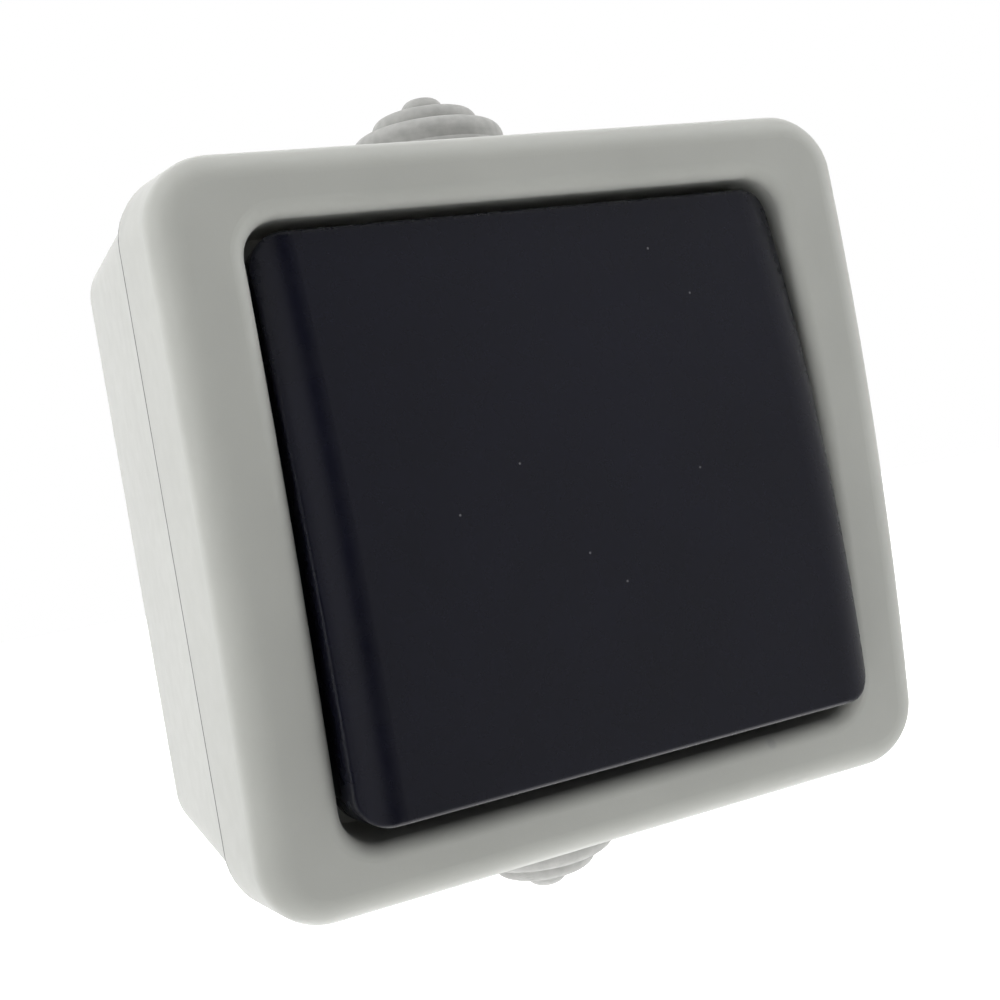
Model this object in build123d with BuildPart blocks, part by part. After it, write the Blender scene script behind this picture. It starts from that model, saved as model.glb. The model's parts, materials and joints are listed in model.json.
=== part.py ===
from build123d import *
from math import asin, cos, degrees, radians, sin
import os

# Surface-mounted weatherproof rocker switch, in millimetres.
# X runs right, Z up and Y into the wall. The wall is the plane Y = 0, and the front faces -Y.
# A "height" is a distance out of the wall, so a height h lies at Y = -h.

# Back box
box_width = 75.0
box_tall = 73.4
box_depth = 36.0
box_corner = 6.5
box_draft_x = 0.6
box_draft_z = 0.35
box_wall = 3.0
box_floor = 2.4
box_back_round = 1.0

# Cover frame
frame_overhang = 0.6
frame_deep = 15.2
frame_flare_x = 0.8
frame_flare_z = 1.7
frame_corner = 6.6
frame_dome = 2.0
frame_front_round = 3.2
frame_back_round = 0.3
frame_wall = 2.9
frame_front_wall = 2.4
seam_gap = 0.3

# Opening and well of the cover frame
border_side = 8.8
border_end = 7.9
opening_corner = 3.8
lip_round = 1.5
well_wall = 1.8
well_depth = 12.2
well_floor = 2.0

# Gasket in the rim groove of the box
groove_inset = 0.9
groove_width = 1.2
groove_depth = 1.2

# Rocker
rocker_gap_side = 0.7
rocker_gap_end = 1.6
rocker_corner = 3.2
rocker_proud = 2.2
rocker_bow = 1.7
rocker_roll_inset = 4.2
rocker_roll_radius = 6.0
rocker_roll_angle = 60.0
rocker_edge_round = 0.8
rocker_skirt_clearance = 1.0
rocker_wall = 1.8
rocker_rib = 1.2
seat_rib_spread = 9.0
rocker_tilt = 5.86
pivot_rise = 5.7

# Dolly that carries the rocker, and the rocker's clips
dolly_width = 13.2
dolly_plate_tall = 18.0
dolly_plate_top = 4.2
dolly_plate = 2.0
dolly_neck = 8.4
dolly_neck_foot = 2.6
dolly_tail = 14.5
trunnion_radius = 1.75
trunnion_clearance = 0.05
clip_thick = 1.6
clip_width = 6.0
clip_barb = 0.7
clip_lead = 1.4
clip_gap = 0.1
side_gap = 0.4

# Plunger and spring in the dolly
bore_radius = 2.6
bore_end = 2.2
plunger_clearance = 0.1
plunger_tip_radius = 1.5
plunger_nose = 3.0
plunger_top = 9.5
plunger_wall = 0.6
spring_wire_radius = 0.25
spring_clearance = 0.1
spring_turns = 8
lever_clearance = 0.35

# Mechanism block and cap
seal_thick = 3.6
base_deep = 20.0
base_side_wall = 1.2
base_end_wall = 1.8
base_corner = 2.0
chamber_width = 13.0
chamber_floor = 4.0
ear_x = 12.0
ear_out = 3.5
ear_radius = 3.4
ear_lean_x = 4.0
ear_lean_z = 6.0
ear_thick = 3.0
cap_width = 26.0
cap_lap = 0.8
cap_thick = 2.4
cheek_thick = 2.2
cheek_radius = 3.5
aperture_gap = 0.6
aperture_corner = 1.5
seal_width = 3.0

# Contact parts
lever_rise = 5.0
lever_swing_ratio = 1.5
lever_length = 23.0
lever_end_gap = 1.7
lever_width = 6.0
lever_thick = 1.2
ridge_radius = 0.5
ridge_rise = 0.6
ridge_gap = 0.1
contact_inset = 1.7
contact_radius = 1.6
contact_dome_radius = 3.0
contact_head = 1.0
contact_shank_radius = 0.8
contact_gap = 0.1
contact_edge_round = 0.3
bridge_foot_x = 5.4
bridge_head_x = 4.2
strip_thick = 0.8
strip_width = 5.0
strip_clearance = 0.2
stop_gap = 0.2
stop_thick = 1.4

# Terminals
terminal_x = 17.5
terminal_size = 7.0
terminal_deep = 11.0
terminal_corner = 0.8
terminal_clearance = 0.4
wire_radius = 1.7
wire_height = 4.0
wire_funnel = 0.8
terminal_screw_radius = 1.5
terminal_screw_head = 2.5
terminal_screw_head_tall = 1.6
terminal_screw_out = 0.8
terminal_screw_end = 0.1

# Screws and posts
post_inset = 7.1
post_radius = 3.6
web_thick = 1.4
web_drop = 6.0
cover_screw_radius = 1.5
cover_screw_head = 2.8
cover_screw_head_tall = 1.8
cover_screw_length = 14.0
washer_radius = 3.2
washer_thick = 0.6
screw_hole_gap = 0.25
mount_screw_radius = 1.4
mount_screw_head = 2.6
mount_screw_head_tall = 1.6
mount_screw_length = 12.0
pilot_gap = 0.05
pilot_spare = 1.0
head_round = 0.5
slot_length = 3.2
slot_width = 0.8
slot_deep = 0.8

# Wall fixing slots in the box floor
fixing_inset = 9.5
fixing_hole_radius = 2.2
fixing_slot_length = 8.0
fixing_pad = 1.2
fixing_pad_border = 1.6

# Cable grommets: radius, top above the box wall and edge round of each step
grommet_drop = 10.6
grommet_neck_radius = 7.0
grommet_flange_radius = 8.2
grommet_flange = 1.4
grommet_wall = 1.3
grommet_steps = [(9.1, 3.4, 1.2), (8.8, 5.6, 1.8), (6.1, 7.5, 1.5), (2.5, 9.35, 1.6)]


# Heights and sizes that follow from the values above
box_back_width = box_width - 2 * box_draft_x
box_back_tall = box_tall - 2 * box_draft_z
box_back_corner = box_corner - box_draft_x
groove_outer_width = box_width - 2 * groove_inset
groove_outer_tall = box_tall - 2 * groove_inset
groove_outer_corner = box_corner - groove_inset
frame_back_height = box_depth + seam_gap
frame_back_width = box_width + 2 * frame_overhang
frame_back_tall = box_tall + 2 * frame_overhang
frame_back_corner = box_corner + frame_overhang
frame_front_height = frame_back_height + frame_deep
frame_front_width = frame_back_width - 2 * frame_flare_x
frame_front_tall = frame_back_tall - 2 * frame_flare_z
dome_radius = ((frame_back_tall / 2) ** 2 + frame_dome**2) / (2 * frame_dome)
opening_width = frame_back_width - 2 * border_side
opening_tall = frame_back_tall - 2 * border_end
well_front_height = frame_front_height - well_depth
well_floor_height = well_front_height - well_floor
pivot_height = well_front_height + pivot_rise
rocker_width = opening_width - 2 * rocker_gap_side
rocker_tall = opening_tall - 2 * rocker_gap_end
rocker_top = frame_front_height + rocker_proud - pivot_height
rocker_inside = rocker_top - rocker_wall
rocker_dip = rocker_tall / 2 * sin(radians(rocker_tilt))
rocker_foot = (rocker_skirt_clearance - pivot_rise + rocker_dip) / cos(radians(rocker_tilt))
rocker_roll_flat = rocker_width - 2 * rocker_roll_inset
bow_radius = ((rocker_tall / 2) ** 2 + rocker_bow**2) / (2 * rocker_bow)
cap_front_height = well_floor_height - seal_thick
base_front_height = cap_front_height - cap_thick
base_back_height = base_front_height - base_deep
chamber_floor_height = base_back_height + chamber_floor
chamber_tall = lever_length + 2 * lever_end_gap
terminal_room = terminal_size + 2 * terminal_clearance
base_width = 2 * (terminal_x + base_side_wall) + terminal_room
base_tall = chamber_tall + 2 * base_end_wall
cap_tall = chamber_tall + 2 * cap_lap
ear_z = base_tall / 2 + ear_out
ear_back_height = base_front_height - ear_thick
ear_places = [(ear_x, ear_z), (-ear_x, -ear_z)]
post_spread_x = opening_width - 2 * post_inset
post_spread_z = opening_tall - 2 * post_inset
post_places = [(x * post_spread_x / 2, z * post_spread_z / 2) for x in (-1, 1) for z in (-1, 1)]
web_height = box_depth - web_drop
fixing_spread = box_width - 2 * fixing_inset
clip_inside = dolly_plate_tall / 2 + clip_gap
clip_barb_top = dolly_plate_top - dolly_plate - clip_gap
clip_foot = clip_barb_top - clip_lead
cheek_inside = dolly_width / 2 + side_gap
cheek_outside = cheek_inside + cheek_thick
aperture_width = 2 * (cheek_outside + aperture_gap)
tail_swing = dolly_tail * sin(radians(rocker_tilt))
aperture_tall = dolly_neck + 2 * (tail_swing + aperture_gap)
lever_pivot_height = chamber_floor_height + lever_rise
lever_tilt = rocker_tilt * lever_swing_ratio
plunger_radius = bore_radius - plunger_clearance
plunger_tip = pivot_height - lever_pivot_height - lever_thick - lever_clearance
plunger_bore_end = plunger_tip - plunger_nose
spring_radius = plunger_radius - plunger_wall - spring_clearance - spring_wire_radius
spring_start = bore_end + spring_wire_radius
spring_end = plunger_bore_end - spring_wire_radius
strip_front_height = chamber_floor_height + strip_thick
contact_z = lever_length / 2 - contact_inset
bridge_height = lever_pivot_height - ridge_rise
dome_back = (contact_dome_radius - contact_head) * cos(radians(lever_tilt)) - contact_dome_radius
moving_contact_back = lever_pivot_height - contact_z * sin(radians(lever_tilt)) + dome_back
fixed_contact_head = moving_contact_back - contact_gap - strip_front_height
line_place = (-terminal_x, 0)
load_place = (terminal_x, -contact_z)
terminal_front_height = strip_front_height + terminal_deep
terminal_head_height = terminal_front_height + terminal_screw_out
wire_hole_height = strip_front_height + wire_height
terminal_screw_length = terminal_head_height - wire_hole_height - wire_radius - terminal_screw_end
grommet_height = box_depth - grommet_drop
grommet_outer_face = box_tall / 2
grommet_inner_face = box_tall / 2 - box_draft_z - box_wall


def level(height):
    """Plane parallel to the wall at a height, facing out of it."""
    return Plane.XZ.offset(height)


def tilted(height, angle):
    """Plane facing out of the wall at a height, turned about the X axis by an angle."""
    return Plane.XZ.offset(height).rotated((angle, 0, 0))


def side_of(plane):
    """Plane square to X: its first axis runs up the given plane, its second out of it."""
    return Plane(origin=plane.origin, x_dir=plane.y_dir, z_dir=plane.x_dir)


def below(plane):
    """Plane square to the given plane's up axis: first axis along X, second out of the plane."""
    return Plane(origin=plane.origin, x_dir=plane.x_dir, z_dir=-plane.y_dir)


def ear_lugs():
    """Lugs that run out from the mechanism's long sides to its fixing screws."""
    for side, (x, z) in zip((1, -1), ear_places):
        SlotCenterPoint((x - side * ear_lean_x, z - side * ear_lean_z), (x, z), 2 * ear_radius)


rocker_plane = tilted(pivot_height, -rocker_tilt)
lever_plane = tilted(lever_pivot_height, lever_tilt)
os.makedirs("parts", exist_ok=True)


# Back box: a drafted moulding, open to the front
with BuildPart() as back_box:
    with BuildSketch(level(0)):
        RectangleRounded(box_back_width, box_back_tall, box_back_corner)
    with BuildSketch(level(box_depth)):
        RectangleRounded(box_width, box_tall, box_corner)
    loft()
    fillet(back_box.faces().sort_by(Axis.Y)[-1].edges(), box_back_round)
    with BuildSketch(level(box_floor)):
        RectangleRounded(
            box_back_width - 2 * box_wall,
            box_back_tall - 2 * box_wall,
            box_back_corner - box_wall,
        )
    with BuildSketch(level(box_depth)):
        RectangleRounded(box_width - 2 * box_wall, box_tall - 2 * box_wall, box_corner - box_wall)
    loft(mode=Mode.SUBTRACT)
    # Posts for the cover screws, each tied to a side wall by a web
    with BuildSketch(level(box_floor)):
        with GridLocations(post_spread_x, post_spread_z, 2, 2):
            Circle(post_radius)
    extrude(amount=well_floor_height - box_floor)
    with BuildSketch(level(box_floor)):
        with GridLocations((box_width - box_wall + post_spread_x) / 2, post_spread_z, 2, 2):
            Rectangle((box_width - box_wall - post_spread_x) / 2, web_thick)
    extrude(amount=web_height - box_floor)
    with BuildSketch(level(well_floor_height)):
        with GridLocations(post_spread_x, post_spread_z, 2, 2):
            Circle(cover_screw_radius + pilot_gap)
    extrude(amount=-(cover_screw_length + pilot_spare), mode=Mode.SUBTRACT)
    # Pillars that carry the mechanism
    with BuildSketch(level(box_floor)):
        with Locations(*ear_places):
            Circle(ear_radius)
    extrude(amount=ear_back_height - box_floor)
    with BuildSketch(level(ear_back_height)):
        with Locations(*ear_places):
            Circle(mount_screw_radius + pilot_gap)
    extrude(
        amount=-(mount_screw_length - cap_thick - ear_thick + pilot_spare), mode=Mode.SUBTRACT
    )
    # Slotted wall fixings in raised pads
    with BuildSketch(level(box_floor)):
        with GridLocations(fixing_spread, 0, 2, 1):
            SlotOverall(
                fixing_slot_length + 2 * fixing_pad_border,
                2 * (fixing_hole_radius + fixing_pad_border),
            )
    extrude(amount=fixing_pad)
    with BuildSketch(level(0)):
        with GridLocations(fixing_spread, 0, 2, 1):
            SlotOverall(fixing_slot_length, 2 * fixing_hole_radius)
    extrude(amount=box_floor + fixing_pad, mode=Mode.SUBTRACT)
    # Cable holes through the top and bottom walls
    with BuildSketch(Plane.XY):
        with Locations((0, -grommet_height)):
            Circle(grommet_neck_radius)
    extrude(amount=box_tall, both=True, mode=Mode.SUBTRACT)
    # Gasket groove in the rim
    with BuildSketch(level(box_depth)):
        RectangleRounded(groove_outer_width, groove_outer_tall, groove_outer_corner)
        RectangleRounded(
            groove_outer_width - 2 * groove_width,
            groove_outer_tall - 2 * groove_width,
            groove_outer_corner - groove_width,
            mode=Mode.SUBTRACT,
        )
    extrude(amount=-groove_depth, mode=Mode.SUBTRACT)
back_box.part.label = "back_box"
export_step(back_box.part, "parts/back_box.step")


# Gasket: a flat cord that fills the groove and the seam above it
with BuildPart() as box_gasket:
    with BuildSketch(level(box_depth - groove_depth)):
        RectangleRounded(groove_outer_width, groove_outer_tall, groove_outer_corner)
        RectangleRounded(
            groove_outer_width - 2 * groove_width,
            groove_outer_tall - 2 * groove_width,
            groove_outer_corner - groove_width,
            mode=Mode.SUBTRACT,
        )
    extrude(amount=groove_depth + seam_gap)
box_gasket.part.label = "box_gasket"
export_step(box_gasket.part, "parts/box_gasket.step")


# Hollow behind the front of the cover frame, around its well
with BuildPart() as frame_hollow:
    with BuildSketch(level(frame_back_height)):
        RectangleRounded(
            frame_back_width - 2 * frame_wall,
            frame_back_tall - 2 * frame_wall,
            frame_back_corner - frame_wall,
        )
    with BuildSketch(level(frame_front_height)):
        RectangleRounded(
            frame_front_width - 2 * frame_wall,
            frame_front_tall - 2 * frame_wall,
            frame_corner - frame_wall,
        )
    loft()
    with Locations(level(frame_front_height - dome_radius)):
        Cylinder(
            dome_radius - frame_front_wall,
            2 * frame_back_width,
            rotation=(0, 90, 0),
            mode=Mode.INTERSECT,
        )
    with BuildSketch(level(well_floor_height)):
        RectangleRounded(
            opening_width + 2 * well_wall, opening_tall + 2 * well_wall, opening_corner + well_wall
        )
    extrude(amount=frame_front_height - well_floor_height, mode=Mode.SUBTRACT)


# Cover frame: a domed front with a deep well for the rocker
with BuildPart() as front_frame:
    with BuildSketch(level(frame_back_height)):
        RectangleRounded(frame_back_width, frame_back_tall, frame_back_corner)
    with BuildSketch(level(frame_front_height)):
        RectangleRounded(frame_front_width, frame_front_tall, frame_corner)
    loft()
    with Locations(level(frame_front_height - dome_radius)):
        Cylinder(dome_radius, 2 * frame_back_width, rotation=(0, 90, 0), mode=Mode.INTERSECT)
    fillet(front_frame.faces().sort_by(Axis.Y)[0].edges(), frame_front_round)
    fillet(front_frame.faces().sort_by(Axis.Y)[-1].edges(), frame_back_round)
    with BuildSketch(level(well_front_height)):
        RectangleRounded(opening_width, opening_tall, opening_corner)
    extrude(amount=frame_front_height - well_front_height, mode=Mode.SUBTRACT)
    fillet(front_frame.faces().sort_by(Axis.Y)[0].inner_wires()[0].edges(), lip_round)
    add(frame_hollow.part, mode=Mode.SUBTRACT)
    # Way through for the dolly, and the screw holes
    with BuildSketch(level(well_floor_height)):
        RectangleRounded(aperture_width, aperture_tall, aperture_corner)
        with GridLocations(post_spread_x, post_spread_z, 2, 2):
            Circle(cover_screw_radius + screw_hole_gap)
    extrude(amount=well_floor, mode=Mode.SUBTRACT)
front_frame.part.label = "front_frame"
export_step(front_frame.part, "parts/front_frame.step")


# Hollow behind the rocker's face
with BuildPart() as rocker_hollow:
    with BuildSketch(rocker_plane.offset(rocker_foot)):
        RectangleRounded(
            rocker_width - 2 * rocker_wall,
            rocker_tall - 2 * rocker_wall,
            rocker_corner - rocker_wall,
        )
    extrude(amount=rocker_top - rocker_foot)
    with Locations(rocker_plane.offset(rocker_top - bow_radius)):
        Cylinder(
            bow_radius - rocker_wall, 2 * rocker_width, rotation=(0, 90, 0), mode=Mode.INTERSECT
        )


# Rocker: a plate bowed over its height, with softly rolled sides
with BuildPart() as rocker:
    with BuildSketch(rocker_plane.offset(rocker_foot)):
        RectangleRounded(rocker_width, rocker_tall, rocker_corner)
    extrude(amount=rocker_top - rocker_foot)
    with BuildSketch(below(rocker_plane)):
        with BuildLine():
            crown = Line((-rocker_roll_flat / 2, rocker_top), (rocker_roll_flat / 2, rocker_top))
            right = JernArc(crown @ 1, (1, 0), rocker_roll_radius, -rocker_roll_angle)
            left = JernArc(crown @ 0, (-1, 0), rocker_roll_radius, rocker_roll_angle)
            Polyline(
                right @ 1,
                ((right @ 1).X, rocker_foot - rocker_bow),
                ((left @ 1).X, rocker_foot - rocker_bow),
                left @ 1,
            )
        make_face()
    revolve(
        axis=Axis(rocker_plane.offset(rocker_top - bow_radius).origin, rocker_plane.x_dir),
        mode=Mode.INTERSECT,
    )
    skirt_edges = rocker.faces().sort_by(Axis.Y)[-1].edges()
    rim = rocker.edges().filter_by(
        lambda edge: not edge.is_interior and edge not in skirt_edges
    )
    fillet(rim, rocker_edge_round)
    add(rocker_hollow.part, mode=Mode.SUBTRACT)
    # Ribs that stand on the dolly plate
    with BuildSketch(rocker_plane.offset(dolly_plate_top)):
        with GridLocations(seat_rib_spread, 0, 2, 1):
            Rectangle(rocker_rib, dolly_plate_tall)
    extrude(amount=rocker_inside + rocker_wall / 2 - dolly_plate_top)
    # Hooks that snap under the ends of the dolly plate
    with BuildSketch(side_of(rocker_plane)):
        with BuildLine():
            Polyline(
                (clip_inside, rocker_inside),
                (clip_inside, clip_barb_top),
                (clip_inside - clip_barb, clip_barb_top),
                (clip_inside, clip_foot),
                (clip_inside + clip_thick, clip_foot),
                (clip_inside + clip_thick, rocker_inside),
                close=True,
            )
        make_face()
        mirror(about=Plane.YZ)
    extrude(amount=clip_width / 2, both=True)
rocker.part.label = "rocker"
export_step(rocker.part, "parts/rocker.step")


# Dolly: clip plate, neck with trunnions, and a bored tail
with BuildPart() as dolly:
    with BuildSketch(rocker_plane.offset(dolly_plate_top - dolly_plate)):
        Rectangle(dolly_width, dolly_plate_tall)
    extrude(amount=dolly_plate)
    with BuildSketch(rocker_plane.offset(-dolly_neck_foot)):
        Rectangle(dolly_width, dolly_neck)
    extrude(amount=dolly_plate_top - dolly_plate + dolly_neck_foot)
    with BuildSketch(rocker_plane.offset(-dolly_tail)):
        Circle(dolly_neck / 2)
    extrude(amount=dolly_tail - dolly_neck_foot)
    with Locations(rocker_plane):
        Cylinder(trunnion_radius, 2 * cheek_outside, rotation=(0, 90, 0))
    with BuildSketch(rocker_plane.offset(-dolly_tail)):
        Circle(bore_radius)
    extrude(amount=dolly_tail - bore_end, mode=Mode.SUBTRACT)
dolly.part.label = "dolly"
export_step(dolly.part, "parts/dolly.step")


# Plunger: a thimble with a rounded nose
with BuildPart() as plunger:
    with BuildSketch(below(rocker_plane)):
        with BuildLine():
            nose = CenterArc(
                (0, plunger_tip_radius - plunger_tip), plunger_tip_radius, -90, 60
            )
            Polyline(
                nose @ 1,
                (plunger_radius, -plunger_bore_end),
                (plunger_radius, -plunger_top),
                (plunger_radius - plunger_wall, -plunger_top),
                (plunger_radius - plunger_wall, -plunger_bore_end),
                (0, -plunger_bore_end),
                nose @ 0,
            )
        make_face()
    revolve(axis=Axis(rocker_plane.origin, rocker_plane.z_dir))
plunger.part.label = "plunger"
export_step(plunger.part, "parts/plunger.step")


# Coil spring between the end of the bore and the plunger
with BuildPart() as dolly_spring:
    with BuildLine():
        coil = Helix(
            pitch=(spring_end - spring_start) / spring_turns,
            height=spring_end - spring_start,
            radius=spring_radius,
            center=rocker_plane.offset(-spring_end).origin,
            direction=rocker_plane.z_dir,
        )
    with BuildSketch(Plane(origin=coil @ 0, z_dir=coil % 0)):
        Circle(spring_wire_radius)
    sweep(path=coil, is_frenet=True)
dolly_spring.part.label = "dolly_spring"
export_step(dolly_spring.part, "parts/dolly_spring.step")


# Mechanism block: contact chamber, strip channels and terminal chambers
with BuildPart() as mechanism_base:
    with BuildSketch(level(base_back_height)):
        RectangleRounded(base_width, base_tall, base_corner)
    extrude(amount=base_front_height - base_back_height)
    with BuildSketch(level(ear_back_height)):
        ear_lugs()
    extrude(amount=ear_thick)
    with BuildSketch(level(ear_back_height)):
        with Locations(*ear_places):
            Circle(mount_screw_radius + screw_hole_gap)
    extrude(amount=ear_thick, mode=Mode.SUBTRACT)
    with BuildSketch(level(chamber_floor_height)):
        Rectangle(chamber_width, chamber_tall)
        for place in (line_place, load_place):
            with Locations(place):
                Rectangle(terminal_room, terminal_room)
            with Locations((place[0] / 2, place[1])):
                Rectangle(abs(place[0]), strip_width + 2 * strip_clearance)
    extrude(amount=base_front_height - chamber_floor_height, mode=Mode.SUBTRACT)
    # Stop for the far end of the contact lever
    with BuildSketch(level(chamber_floor_height)):
        with Locations((0, lever_length / 2 - stop_thick / 2)):
            Rectangle(lever_width, stop_thick)
    extrude(
        amount=lever_pivot_height
        - lever_length / 2 * sin(radians(lever_tilt))
        - stop_gap
        - chamber_floor_height
    )
    # Wire entries: the line wire comes from above, the load wire from below
    for place, outside in ((line_place, base_tall / 2), (load_place, -base_tall / 2)):
        with BuildSketch(Plane.XY.offset(outside)):
            with Locations((place[0], -wire_hole_height)):
                Circle(wire_radius + wire_funnel)
        with BuildSketch(Plane.XY.offset(place[1])):
            with Locations((place[0], -wire_hole_height)):
                Circle(wire_radius)
        loft(mode=Mode.SUBTRACT)
mechanism_base.part.label = "mechanism_base"
export_step(mechanism_base.part, "parts/mechanism_base.step")


# Cap over the contact chamber, with two cheeks that carry the trunnions
with BuildPart() as mechanism_cap:
    with BuildSketch(level(base_front_height)):
        RectangleRounded(cap_width, cap_tall, base_corner)
        ear_lugs()
        with Locations(*ear_places):
            Circle(mount_screw_radius + screw_hole_gap, mode=Mode.SUBTRACT)
        Rectangle(
            dolly_neck + 2 * side_gap,
            dolly_neck + 2 * (tail_swing + side_gap),
            mode=Mode.SUBTRACT,
        )
    extrude(amount=cap_thick)
    for side in (1, -1):
        with BuildSketch(side_of(level(pivot_height)).offset(side * cheek_inside)):
            Circle(cheek_radius)
            with Locations((0, (cap_front_height - pivot_height) / 2)):
                Rectangle(2 * cheek_radius, pivot_height - cap_front_height)
            Circle(trunnion_radius + trunnion_clearance, mode=Mode.SUBTRACT)
        extrude(amount=side * cheek_thick)
mechanism_cap.part.label = "mechanism_cap"
export_step(mechanism_cap.part, "parts/mechanism_cap.step")


# Soft seal between the cap and the floor of the well
with BuildPart() as mechanism_seal:
    with BuildSketch(level(cap_front_height)):
        RectangleRounded(
            aperture_width + 2 * seal_width,
            aperture_tall + 2 * seal_width,
            aperture_corner + seal_width,
        )
        RectangleRounded(aperture_width, aperture_tall, aperture_corner, mode=Mode.SUBTRACT)
    extrude(amount=seal_thick)
mechanism_seal.part.label = "mechanism_seal"
export_step(mechanism_seal.part, "parts/mechanism_seal.step")


# Contact lever: a strip with a coined groove that rocks on the common strip's ridge
with BuildPart() as contact_lever:
    with BuildSketch(lever_plane):
        SlotOverall(lever_length, lever_width, rotation=90)
        with Locations((0, -contact_z)):
            Circle(contact_shank_radius, mode=Mode.SUBTRACT)
    extrude(amount=lever_thick)
    with BuildSketch(side_of(lever_plane).offset(-lever_width / 2)):
        Circle(ridge_radius + ridge_gap)
    extrude(amount=lever_width, mode=Mode.SUBTRACT)
contact_lever.part.label = "contact_lever"
export_step(contact_lever.part, "parts/contact_lever.step")


# Silver rivet in the lever, with a domed head towards the wall
with BuildPart() as moving_contact:
    with BuildSketch(side_of(lever_plane)):
        with BuildLine():
            dome = CenterArc(
                (-contact_z, contact_dome_radius - contact_head),
                contact_dome_radius,
                -90,
                degrees(asin(contact_radius / contact_dome_radius)),
            )
            Polyline(
                dome @ 1,
                (contact_radius - contact_z, 0),
                (contact_shank_radius - contact_z, 0),
                (contact_shank_radius - contact_z, lever_thick),
                (-contact_z, lever_thick),
                dome @ 0,
            )
        make_face()
    revolve(axis=Axis(lever_plane.from_local_coords(Vector(0, -contact_z, 0)), lever_plane.z_dir))
moving_contact.part.label = "moving_contact"
export_step(moving_contact.part, "parts/moving_contact.step")


# Common strip: from under the line terminal up to the ridge that the lever rocks on
with BuildPart() as common_strip:
    with BuildSketch(Plane.XY.offset(-strip_width / 2)):
        with BuildLine():
            FilletPolyline(
                (-terminal_x - terminal_size / 2, -(chamber_floor_height + strip_thick / 2)),
                (-bridge_foot_x, -(chamber_floor_height + strip_thick / 2)),
                (-bridge_head_x, -(bridge_height - strip_thick / 2)),
                (lever_width / 2, -(bridge_height - strip_thick / 2)),
                radius=strip_thick,
            )
        trace(line_width=strip_thick)
    extrude(amount=strip_width)
    with BuildSketch(side_of(level(lever_pivot_height)).offset(-lever_width / 2)):
        Circle(ridge_radius)
        with Locations((0, -ridge_rise / 2)):
            Rectangle(2 * ridge_radius, ridge_rise)
    extrude(amount=lever_width)
common_strip.part.label = "common_strip"
export_step(common_strip.part, "parts/common_strip.step")


# Load strip: flat, from under the fixed contact to under the load terminal
with BuildPart() as load_strip:
    with BuildSketch(level(chamber_floor_height)):
        with Locations(((terminal_x + terminal_size / 2) / 2, -contact_z)):
            Rectangle(terminal_x + terminal_size / 2, strip_width)
        with Locations((0, -contact_z)):
            Circle(strip_width / 2)
            Circle(contact_shank_radius, mode=Mode.SUBTRACT)
    extrude(amount=strip_thick)
load_strip.part.label = "load_strip"
export_step(load_strip.part, "parts/load_strip.step")


# Silver rivet in the load strip
with BuildPart() as fixed_contact:
    with BuildSketch(level(strip_front_height)):
        with Locations((0, -contact_z)):
            Circle(contact_radius)
    extrude(amount=fixed_contact_head)
    fillet(fixed_contact.edges().group_by(Axis.Y)[0], contact_edge_round)
    with BuildSketch(level(chamber_floor_height)):
        with Locations((0, -contact_z)):
            Circle(contact_shank_radius)
    extrude(amount=strip_thick)
fixed_contact.part.label = "fixed_contact"
export_step(fixed_contact.part, "parts/fixed_contact.step")


def terminal_block(place):
    """Brass block on a strip, with a wire hole along Z and a screw hole from the front."""
    with BuildPart() as block:
        with BuildSketch(level(strip_front_height)):
            with Locations(place):
                RectangleRounded(terminal_size, terminal_size, terminal_corner)
        extrude(amount=terminal_deep)
        with BuildSketch(Plane.XY.offset(place[1])):
            with Locations((place[0], -wire_hole_height)):
                Circle(wire_radius)
        extrude(amount=terminal_size, both=True, mode=Mode.SUBTRACT)
        with BuildSketch(level(wire_hole_height)):
            with Locations(place):
                Circle(terminal_screw_radius + pilot_gap)
        extrude(amount=strip_front_height + terminal_deep - wire_hole_height, mode=Mode.SUBTRACT)
    return block.part


# Terminals
with BuildPart() as line_terminal:
    add(terminal_block(line_place))
line_terminal.part.label = "line_terminal"
export_step(line_terminal.part, "parts/line_terminal.step")

with BuildPart() as load_terminal:
    add(terminal_block(load_place))
load_terminal.part.label = "load_terminal"
export_step(load_terminal.part, "parts/load_terminal.step")


def pan_screws(places, seat_height, shank_radius, length, head_radius, head_tall):
    """Screws with cross-slotted round heads in front of a seat, shanks towards the wall."""
    with BuildPart() as group:
        with BuildSketch(level(seat_height)):
            with Locations(*places):
                Circle(head_radius)
        extrude(amount=head_tall)
        fillet(group.edges().group_by(Axis.Y)[0], head_round)
        with BuildSketch(level(seat_height)):
            with Locations(*places):
                Circle(shank_radius)
        extrude(amount=-length)
        with BuildSketch(level(seat_height + head_tall)):
            with Locations(*places):
                Rectangle(slot_length, slot_width)
                Rectangle(slot_width, slot_length)
        extrude(amount=-slot_deep, mode=Mode.SUBTRACT)
    return group.part


# Terminal screws
with BuildPart() as terminal_screws:
    add(
        pan_screws(
            [line_place, load_place],
            terminal_head_height,
            terminal_screw_radius,
            terminal_screw_length,
            terminal_screw_head,
            terminal_screw_head_tall,
        )
    )
terminal_screws.part.label = "terminal_screws"
export_step(terminal_screws.part, "parts/terminal_screws.step")


# Screws that hold the mechanism on its pillars
with BuildPart() as mechanism_screws:
    add(
        pan_screws(
            ear_places,
            cap_front_height,
            mount_screw_radius,
            mount_screw_length,
            mount_screw_head,
            mount_screw_head_tall,
        )
    )
mechanism_screws.part.label = "mechanism_screws"
export_step(mechanism_screws.part, "parts/mechanism_screws.step")


# Sealing washers and screws that hold the cover frame
with BuildPart() as cover_washers:
    with BuildSketch(level(well_front_height)):
        with Locations(*post_places):
            Circle(washer_radius)
            Circle(cover_screw_radius, mode=Mode.SUBTRACT)
    extrude(amount=washer_thick)
cover_washers.part.label = "cover_washers"
export_step(cover_washers.part, "parts/cover_washers.step")

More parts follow.
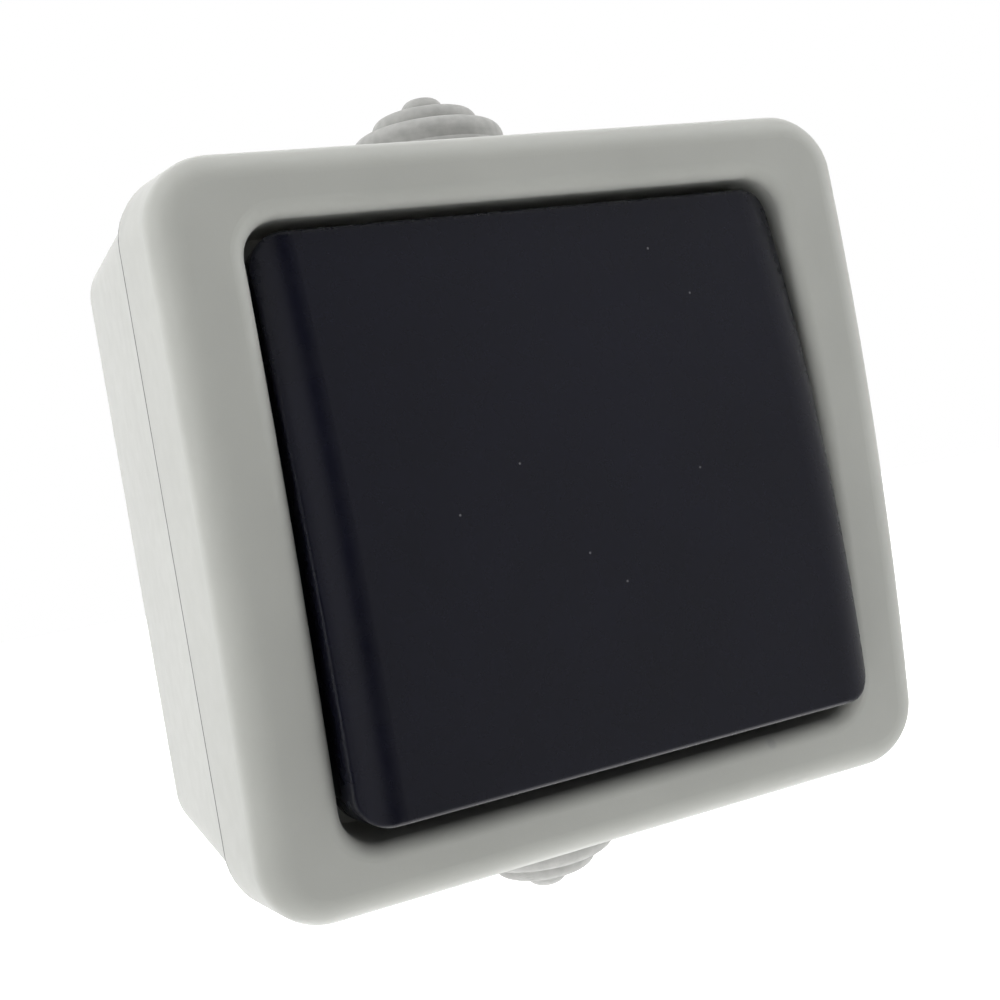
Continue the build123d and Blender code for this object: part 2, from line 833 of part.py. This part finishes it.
with BuildPart() as cover_screws:
    add(
        pan_screws(
            post_places,
            well_front_height + washer_thick,
            cover_screw_radius,
            cover_screw_length,
            cover_screw_head,
            cover_screw_head_tall,
        )
    )
cover_screws.part.label = "cover_screws"
export_step(cover_screws.part, "parts/cover_screws.step")


def grommet_outside():
    """Lines up the outside of the steps, from the wall to the tip."""
    bottom = grommet_outer_face
    next_radii = [step[0] for step in grommet_steps[1:]] + [0]
    for (radius, rise, edge_round), next_radius in zip(grommet_steps, next_radii):
        top = grommet_outer_face + rise
        Line((radius, bottom), (radius, top - edge_round))
        shoulder = max(next_radius, radius - edge_round)
        arc_top = top - edge_round + (edge_round**2 - (shoulder - radius + edge_round) ** 2) ** 0.5
        RadiusArc((radius, top - edge_round), (shoulder, arc_top), -edge_round)
        if shoulder > next_radius:
            Line((shoulder, top), (next_radius, top))
        bottom = arc_top


# Top grommet: flange inside the wall, neck through it, stepped cone outside, hollow from within
with BuildPart() as top_grommet:
    with BuildSketch(level(grommet_height)):
        with BuildLine():
            grommet_outside()
            inner_radius = grommet_neck_radius - grommet_wall
            inner_points = []
            for step in reversed(range(1, len(grommet_steps))):
                radius = min(grommet_steps[step][0] - grommet_wall, inner_radius)
                inner_points += [
                    (radius, grommet_outer_face + grommet_steps[step][1] - grommet_wall),
                    (radius, grommet_outer_face + grommet_steps[step - 1][1] - grommet_wall),
                ]
            Polyline(
                (0, grommet_outer_face + grommet_steps[-1][1]),
                (0, inner_points[0][1]),
                *inner_points[:-1],
                (inner_radius, grommet_inner_face - grommet_flange),
                (grommet_flange_radius, grommet_inner_face - grommet_flange),
                (grommet_flange_radius, grommet_inner_face),
                (grommet_neck_radius, grommet_inner_face),
                (grommet_neck_radius, grommet_outer_face),
                (grommet_steps[0][0], grommet_outer_face),
            )
        make_face()
    revolve(axis=Axis(level(grommet_height).origin, (0, 0, 1)))
top_grommet.part.label = "top_grommet"
export_step(top_grommet.part, "parts/top_grommet.step")


# Bottom grommet: the same moulding, turned over
with BuildPart() as bottom_grommet:
    mirror(top_grommet.part, about=Plane.XY)
bottom_grommet.part.label = "bottom_grommet"
export_step(bottom_grommet.part, "parts/bottom_grommet.step")
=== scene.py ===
import json
import math

import bpy
from mathutils import Euler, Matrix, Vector


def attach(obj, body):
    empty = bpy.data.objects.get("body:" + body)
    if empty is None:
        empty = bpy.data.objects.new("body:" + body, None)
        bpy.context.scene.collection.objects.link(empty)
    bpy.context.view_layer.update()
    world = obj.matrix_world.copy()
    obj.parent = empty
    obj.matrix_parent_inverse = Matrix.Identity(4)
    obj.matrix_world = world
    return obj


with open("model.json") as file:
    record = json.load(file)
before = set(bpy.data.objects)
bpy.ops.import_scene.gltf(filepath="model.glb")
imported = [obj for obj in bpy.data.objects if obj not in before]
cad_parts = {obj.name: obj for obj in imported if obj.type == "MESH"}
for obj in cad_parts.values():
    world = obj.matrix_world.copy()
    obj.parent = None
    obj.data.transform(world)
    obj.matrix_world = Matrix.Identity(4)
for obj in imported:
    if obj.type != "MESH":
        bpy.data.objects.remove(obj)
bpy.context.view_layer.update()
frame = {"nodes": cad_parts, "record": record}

# Lengths are in metres, in the frame of the CAD: X right, Z up, Y into the wall.
MM = 0.001

# Camera, at the photograph's place: angles in degrees, lens and sensor in millimetres
CAMERA_PLACE = (-59.43 * MM, -171.34 * MM, 5.61 * MM)
CAMERA_ANGLES = (87.646, 9.284, -23.142)
CAMERA_LENS = 48.829
CAMERA_SENSOR = 36.0
CAMERA_NEAR = 1 * MM
CAMERA_FAR = 20.0

# Light: the room's mean brightness, its gain towards each side and its gain in a ring level with the wall
WHITE = (1, 1, 1, 1)
ROOM_LEVEL = 0.90
ROOM_BRIGHT_SIDE = (0.20, 0.44, -0.40)
ROOM_RING = 2.7
ROOM_RING_REACH = 0.45

# What gloss mirrors: a bright room behind the part, and in front a dim one with two dark bands
GLOSS_FRONT = 0.42
GLOSS_BACK = 1.5
GLOSS_TURN = (0.15, 0.7)
DARK_BAND_X = -0.06
DARK_BAND_REACH = (0.08, 0.40)
DARK_BAND_LEVEL = 0.04
DARK_SIDE_X = (-0.98, -0.75)

# Soft lamp below the part, for the light that comes up from the white ground
LAMP_PLACE = (0.04, 0.0, -0.22)
LAMP_SIZE = 0.25
LAMP_POWER = 0.22

# Floor, lifted to plain white for the camera
FLOOR_DROP = 250 * MM
FLOOR_SIZE = 6.0
FLOOR_LIFT = 0.4
FLOOR_PATCH = 200 * MM
FLOOR_TONES = ((0.86, 0.86, 0.86, 1), (0.90, 0.90, 0.90, 1))

# Marks on the front that the photograph shows: places in X and Z, in millimetres
SPECKS = [
    (-7.3, 3.5), (-1.9, -6.1), (-14.3, -0.3), (12.0, 0.1), (1.5, -9.5), (15.5, 17.8), (12.0, 22.9)
]
SPECK_RADIUS = 0.16 * MM
SPECK_COLOUR = (0.10, 0.10, 0.11)
FRAME_MARK = (17.7, -30.2)
FRAME_MARK_RADIUS = 0.7 * MM
FRAME_MARK_COLOUR = (0.36, 0.36, 0.35)
LINT_MARK = (0.8, -28.9)
LINT_RADIUS = 0.45 * MM
LINT_COLOUR = (0.26, 0.13, 0.10)
MARK_CORE_SHARE = 0.4
MARK_LEAST_HEIGHT = 45 * MM

# Dark gasket edge that stands out of the seam as a painted shadow for the gap behind the frame's rear
# edge, in millimetres, with its thickness at mid-height and at top and bottom
GASKET_SHADOW_FRONT = 36.29
GASKET_SHADOW_THICK = (0.22, 0.55)
GASKET_SHADOW_THICKENING_POWER = 4
GASKET_SHADOW_SIZE = (76.08, 74.48)
GASKET_SHADOW_CORNER = 7.0
GASKET_SHADOW_CORNER_STEPS = 12
GASKET_SHADOW_INSIDE = 1.0

# Texture of the materials: sizes of the noise's features, and how far values stray
NOISE_RANGE = (0.3, 0.7)
PLASTIC_IOR = 1.5
MOTTLE_PATCH = 14 * MM
GLOSS_PATCH = 2.5 * MM
GLOSS_STRAY = 0.04
RUBBER_IOR = 1.5
RUBBER_BLOOM_PATCH = 1.2 * MM
RUBBER_BLOOM = 0.1
RUBBER_DULL_PATCH = 0.8 * MM
RUBBER_ROUGHNESS = (0.60, 0.75)
RUBBER_GRAIN = 0.15 * MM
RUBBER_DEPTH = 0.01 * MM
METAL_MARK = 0.12 * MM
METAL_DEPTH = 0.003 * MM
METAL_DULL_PATCH = 3 * MM
METAL_DULLEST = 0.85
METAL_ROUGHNESS_STRAY = (-0.06, 0.08)

nodes = frame["nodes"]


class Graph:
    """A material's or world's nodes, with short calls to add and join them."""

    def __init__(self, tree):
        self.tree = tree
        tree.nodes.clear()

    def add(self, kind, settings=None, **inputs):
        """Adds a node. Inputs are values or other nodes' sockets, by input name."""
        node = self.tree.nodes.new(kind)
        for name, value in (settings or {}).items():
            setattr(node, name, value)
        for name, value in inputs.items():
            self.put(node, name.replace("_", " "), value)
        return node

    def put(self, node, name, value):
        """Sets an input, given by its name or number, to a value or joins it to a socket."""
        socket = node.inputs[name]
        if isinstance(value, bpy.types.NodeSocket):
            self.tree.links.new(value, socket)
        else:
            socket.default_value = value

    def pair(self, kind, first, second, settings=None, at=0):
        """Adds a node whose inputs at and at + 1 are the two values or sockets."""
        node = self.add(kind, settings)
        self.put(node, at, first)
        self.put(node, at + 1, second)
        return node

    def math(self, operation, first, second=0.0):
        """One sum on two numbers or sockets."""
        return self.pair("ShaderNodeMath", first, second, {"operation": operation}).outputs[0]

    def vector(self, operation, first, second):
        """The node of one sum on two vectors or sockets."""
        return self.pair("ShaderNodeVectorMath", first, second, {"operation": operation})

    def axes(self, vector):
        """The outputs X, Y and Z of a vector."""
        return self.add("ShaderNodeSeparateXYZ", Vector=vector).outputs

    def place(self):
        """The point on the surface, in metres, in the piece's own frame."""
        return self.add("ShaderNodeTexCoord").outputs["Object"]

    def noise(self, size, detail=2.0, vector=None):
        """Noise with features of about the given size in metres, from 0 to 1."""
        place = vector or self.place()
        node = self.add("ShaderNodeTexNoise", Vector=place, Scale=1 / size, Detail=detail)
        return node.outputs["Fac"]

    def ramp(self, value, start, end, low=0.0, high=1.0):
        """Goes smoothly from low, where value is at start, to high, where it is at end."""
        node = self.add(
            "ShaderNodeMapRange", {"interpolation_type": "SMOOTHSTEP"},
            Value=value, From_Min=start, From_Max=end, To_Min=low, To_Max=high,
        )
        return node.outputs["Result"]

    def spread(self, value, low, high):
        """Maps noise, which stays near its middle, on to a range."""
        node = self.add(
            "ShaderNodeMapRange",
            Value=value, From_Min=NOISE_RANGE[0], From_Max=NOISE_RANGE[1],
            To_Min=low, To_Max=high,
        )
        return node.outputs["Result"]

    def spots(self, places, radius):
        """1 on round spots on the part's front, fading to 0 at their radius."""
        flat = self.vector("MULTIPLY", self.place(), (1, 0, 1)).outputs["Vector"]
        total = 0.0
        for x, z in places:
            gap = self.vector("DISTANCE", flat, (x * MM, 0, z * MM)).outputs["Value"]
            total = self.math("ADD", total, self.ramp(gap, radius, MARK_CORE_SHARE * radius))
        on_front = self.math("LESS_THAN", self.axes(self.place())["Y"], -MARK_LEAST_HEIGHT)
        return self.math("MULTIPLY", total, on_front)

    def blend(self, share, first, second):
        """Colour between two colours."""
        node = self.pair("ShaderNodeMix", first, second, {"data_type": "RGBA"}, at=6)
        self.put(node, "Factor", share)
        return node.outputs[2]

    def bump(self, height, depth):
        """Normal of a surface raised by height, from 0 to 1, times depth."""
        node = self.add("ShaderNodeBump", Height=height, Distance=depth, Strength=1.0)
        return node.outputs["Normal"]

    def finish(self, kind, surface):
        """Adds the output node of the given kind for a shader."""
        self.put(self.add(kind), "Surface", surface)


def shade(colour, factor):
    """A colour made lighter or darker, with full alpha."""
    return tuple(channel * factor for channel in colour) + (1.0,)


def new_material(name):
    """A material and its graph."""
    material = bpy.data.materials.new(name)
    material.use_nodes = True
    return material, Graph(material.node_tree)


def finish_surface(graph, **inputs):
    """Adds the surface shader and the output."""
    shader = graph.add("ShaderNodeBsdfPrincipled", **inputs)
    graph.finish("ShaderNodeOutputMaterial", shader.outputs[0])


def moulded_plastic(
    name, colour, roughness, grain, depth,
    specular=0.5, mottle=0.03, glow=0.0, glow_reach=0.0, marks=(),
):
    """Satin moulded plastic: faint mottling, spark-eroded grain and slightly uneven gloss.

    marks are rows of places in X and Z, the marks' radius and their colour.
    """
    material, graph = new_material(name)
    broad = graph.noise(MOTTLE_PATCH, detail=3)
    base = graph.blend(
        graph.spread(broad, 0, 1), shade(colour, 1 - mottle), shade(colour, 1 + mottle)
    )
    for places, radius, mark_colour in marks:
        base = graph.blend(graph.spots(places, radius), base, shade(mark_colour, 1))
    gloss = graph.spread(
        graph.noise(GLOSS_PATCH, detail=4), roughness - GLOSS_STRAY, roughness + GLOSS_STRAY
    )
    finish_surface(
        graph,
        Base_Color=base,
        Roughness=gloss,
        IOR=PLASTIC_IOR,
        Specular_IOR_Level=specular,
        Subsurface_Weight=glow,
        Subsurface_Radius=(1, 1, 1),
        Subsurface_Scale=glow_reach,
        Normal=graph.bump(graph.noise(grain, detail=2), depth),
    )
    return material


def rubber(name, colour):
    """Soft rubber: matt, with a fine chalky bloom."""
    material, graph = new_material(name)
    bloom = graph.spread(graph.noise(RUBBER_BLOOM_PATCH, detail=5), 0, 1)
    dull = graph.noise(RUBBER_DULL_PATCH, detail=3)
    finish_surface(
        graph,
        Base_Color=graph.blend(
            bloom, shade(colour, 1 - RUBBER_BLOOM), shade(colour, 1 + RUBBER_BLOOM)
        ),
        Roughness=graph.spread(dull, *RUBBER_ROUGHNESS),
        IOR=RUBBER_IOR,
        Normal=graph.bump(graph.noise(RUBBER_GRAIN, detail=3), RUBBER_DEPTH),
    )
    return material


def metal(name, colour, roughness, scratch=(1, 1, 1)):
    """Stamped or turned metal: fine marks, drawn out where scratch says, dulled in patches."""
    material, graph = new_material(name)
    stretched = graph.add("ShaderNodeMapping", Vector=graph.place(), Scale=scratch).outputs[0]
    marks = graph.noise(METAL_MARK, detail=4, vector=stretched)
    dull = graph.spread(graph.noise(METAL_DULL_PATCH, detail=4), 0, 1)
    smoothest, roughest = (roughness + stray for stray in METAL_ROUGHNESS_STRAY)
    finish_surface(
        graph,
        Base_Color=graph.blend(dull, shade(colour, METAL_DULLEST), shade(colour, 1)),
        Metallic=1.0,
        Roughness=graph.spread(marks, smoothest, roughest),
        Normal=graph.bump(marks, METAL_DEPTH),
    )
    return material


def slot_materials():
    """One material for each material slot of the record."""
    return {
        "grey_plastic": moulded_plastic(
            "grey_plastic", (0.42, 0.425, 0.400),
            roughness=0.45, grain=0.22 * MM, depth=0.004 * MM,
            glow=0.8, glow_reach=2.2 * MM,
            marks=[
                ([FRAME_MARK], FRAME_MARK_RADIUS, FRAME_MARK_COLOUR),
                ([LINT_MARK], LINT_RADIUS, LINT_COLOUR),
            ],
        ),
        "black_plastic": moulded_plastic(
            "black_plastic", (0.0045, 0.0048, 0.0115),
            roughness=0.27, grain=0.30 * MM, depth=0.006 * MM,
            specular=0.4, mottle=0.1,
            marks=[(SPECKS, SPECK_RADIUS, SPECK_COLOUR)],
        ),
        "grey_rubber": rubber("grey_rubber", (0.42, 0.42, 0.405)),
        "seal_rubber": rubber("seal_rubber", (0.06, 0.06, 0.06)),
        "insulator": moulded_plastic(
            "insulator", (0.70, 0.68, 0.61),
            roughness=0.50, grain=0.25 * MM, depth=0.004 * MM,
        ),
        "brass": metal("brass", (0.80, 0.60, 0.30), roughness=0.30, scratch=(1, 1, 0.1)),
        "silver": metal("silver", (0.88, 0.87, 0.84), roughness=0.25),
        "steel": metal("steel", (0.62, 0.63, 0.66), roughness=0.32, scratch=(0.2, 1, 1)),
    }


def dress_nodes(materials):
    """Gives every CAD node the material of its slot."""
    for row in frame["record"]["subparts"]:
        piece = nodes[row["node"]]
        piece.data.materials.clear()
        piece.data.materials.append(materials[row["material_slot"]])


def gasket_shadow_outline():
    """Points round the corners of the dark gasket edge that paints the seam's shadow: each arc's centre
    in X and Z, and the way out of it.
    """
    half_width, half_tall = (size / 2 - GASKET_SHADOW_CORNER for size in GASKET_SHADOW_SIZE)
    outline = []
    for turn, (side_x, side_z) in enumerate([(1, 1), (-1, 1), (-1, -1), (1, -1)]):
        for step in range(GASKET_SHADOW_CORNER_STEPS + 1):
            angle = math.radians(90 * (turn + step / GASKET_SHADOW_CORNER_STEPS))
            outline.append(
                (side_x * half_width, side_z * half_tall, math.cos(angle), math.sin(angle))
            )
    return outline


def make_gasket_shadow_edge(material):
    """Thin dark gasket edge between box and frame, painting the shadow in the seam's gap, thicker at the
    top and bottom.
    """
    thin, thick = GASKET_SHADOW_THICK
    inside = GASKET_SHADOW_CORNER - GASKET_SHADOW_INSIDE
    corners, sides = [], []
    for x, z, out_x, out_z in gasket_shadow_outline():
        share = min(abs(z + GASKET_SHADOW_CORNER * out_z) / (GASKET_SHADOW_SIZE[1] / 2), 1)
        back = GASKET_SHADOW_FRONT - thin - (thick - thin) * share**GASKET_SHADOW_THICKENING_POWER
        for reach, height in (
            (GASKET_SHADOW_CORNER, GASKET_SHADOW_FRONT), (GASKET_SHADOW_CORNER, back),
            (inside, back), (inside, GASKET_SHADOW_FRONT),
        ):
            corners.append(Vector((x + out_x * reach, -height, z + out_z * reach)) * MM)
    for near in range(0, len(corners), 4):
        far = (near + 4) % len(corners)
        for side in range(4):
            after = (side + 1) % 4
            sides.append((near + side, far + side, far + after, near + after))
    mesh = bpy.data.meshes.new("gasket_shadow_edge")
    mesh.from_pydata(corners, [], sides)
    mesh.materials.append(material)
    piece = bpy.data.objects.new("gasket_shadow_edge", mesh)
    bpy.context.scene.collection.objects.link(piece)
    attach(piece, "root")


def room_level(graph, direction):
    """How bright the room is that lights the part, by direction."""
    along = graph.vector("DOT_PRODUCT", direction, ROOM_BRIGHT_SIDE).outputs["Value"]
    off_wall = graph.math("ABSOLUTE", graph.axes(direction)["Y"])
    ring = graph.ramp(off_wall, ROOM_RING_REACH, 0.0, 0.0, ROOM_RING)
    return graph.math("ADD", graph.math("ADD", along, ROOM_LEVEL), ring)


def mirrored_level(graph, direction):
    """How bright the room is that gloss mirrors, by direction."""
    axes = graph.axes(direction)
    offset = graph.math("ABSOLUTE", graph.math("SUBTRACT", axes["X"], DARK_BAND_X))
    band = graph.ramp(offset, *DARK_BAND_REACH, DARK_BAND_LEVEL, 1.0)
    side = graph.ramp(axes["X"], *DARK_SIDE_X, DARK_BAND_LEVEL, 1.0)
    front = graph.math("MULTIPLY", graph.math("MULTIPLY", band, side), GLOSS_FRONT)
    back = graph.ramp(axes["Y"], *GLOSS_TURN, 0.0, GLOSS_BACK)
    return graph.math("MAXIMUM", front, back)


def make_world():
    """A soft room, dim in front of the part and bright behind it, that the camera sees as white."""
    world = bpy.data.worlds.new("room")
    bpy.context.scene.world = world
    world.use_nodes = True
    graph = Graph(world.node_tree)

    def background(level):
        return graph.add("ShaderNodeBackground", Color=WHITE, Strength=level).outputs[0]

    def mix(share, first, second):
        mixed = graph.pair("ShaderNodeMixShader", first, second, at=1)
        graph.put(mixed, 0, share)
        return mixed.outputs[0]

    direction = graph.add("ShaderNodeTexCoord").outputs["Generated"]
    rays = graph.add("ShaderNodeLightPath").outputs
    room = background(room_level(graph, direction))
    mirrored = background(mirrored_level(graph, direction))
    straight = graph.math("MAXIMUM", rays["Is Transmission Ray"], rays["Is Camera Ray"])
    unseen = mix(rays["Is Glossy Ray"], room, mirrored)
    graph.finish("ShaderNodeOutputWorld", mix(straight, unseen, background(1.0)))


def make_floor():
    """A white floor well below the part, lifted to plain white for the camera."""
    bpy.ops.mesh.primitive_plane_add(size=FLOOR_SIZE, location=(0, 0, -FLOOR_DROP))
    floor = bpy.context.object
    floor.name = "floor"
    material, graph = new_material("floor_white")
    paper = graph.add(
        "ShaderNodeBsdfDiffuse", Color=graph.blend(graph.noise(FLOOR_PATCH), *FLOOR_TONES)
    )
    camera_ray = graph.add("ShaderNodeLightPath").outputs["Is Camera Ray"]
    lift = graph.add(
        "ShaderNodeEmission",
        Color=WHITE, Strength=graph.math("MULTIPLY", camera_ray, FLOOR_LIFT),
    )
    both = graph.pair("ShaderNodeAddShader", paper.outputs[0], lift.outputs[0])
    graph.finish("ShaderNodeOutputMaterial", both.outputs[0])
    floor.data.materials.append(material)
    floor.visible_glossy = False


def make_lamp():
    """A square soft lamp that points at the part."""
    lamp = bpy.data.lights.new("low_lamp", "AREA")
    lamp.shape = "SQUARE"
    lamp.size = LAMP_SIZE
    lamp.energy = LAMP_POWER
    holder = bpy.data.objects.new("low_lamp", lamp)
    bpy.context.scene.collection.objects.link(holder)
    holder.location = LAMP_PLACE
    holder.rotation_euler = (-Vector(LAMP_PLACE)).to_track_quat("-Z", "Y").to_euler()


def make_camera():
    """The camera at the photograph's angle."""
    camera = bpy.data.cameras.new("camera")
    camera.lens = CAMERA_LENS
    camera.sensor_width = CAMERA_SENSOR
    camera.clip_start = CAMERA_NEAR
    camera.clip_end = CAMERA_FAR
    holder = bpy.data.objects.new("camera", camera)
    bpy.context.scene.collection.objects.link(holder)
    holder.location = CAMERA_PLACE
    holder.rotation_euler = Euler([math.radians(angle) for angle in CAMERA_ANGLES])
    bpy.context.scene.camera = holder


materials = slot_materials()
dress_nodes(materials)
# Dark gasket edge in the seam: painted shadow of the gap behind the frame's rear edge.
make_gasket_shadow_edge(materials["seal_rubber"])
make_world()
make_floor()
make_lamp()
make_camera()
bpy.context.scene.view_settings.view_transform = "Standard"
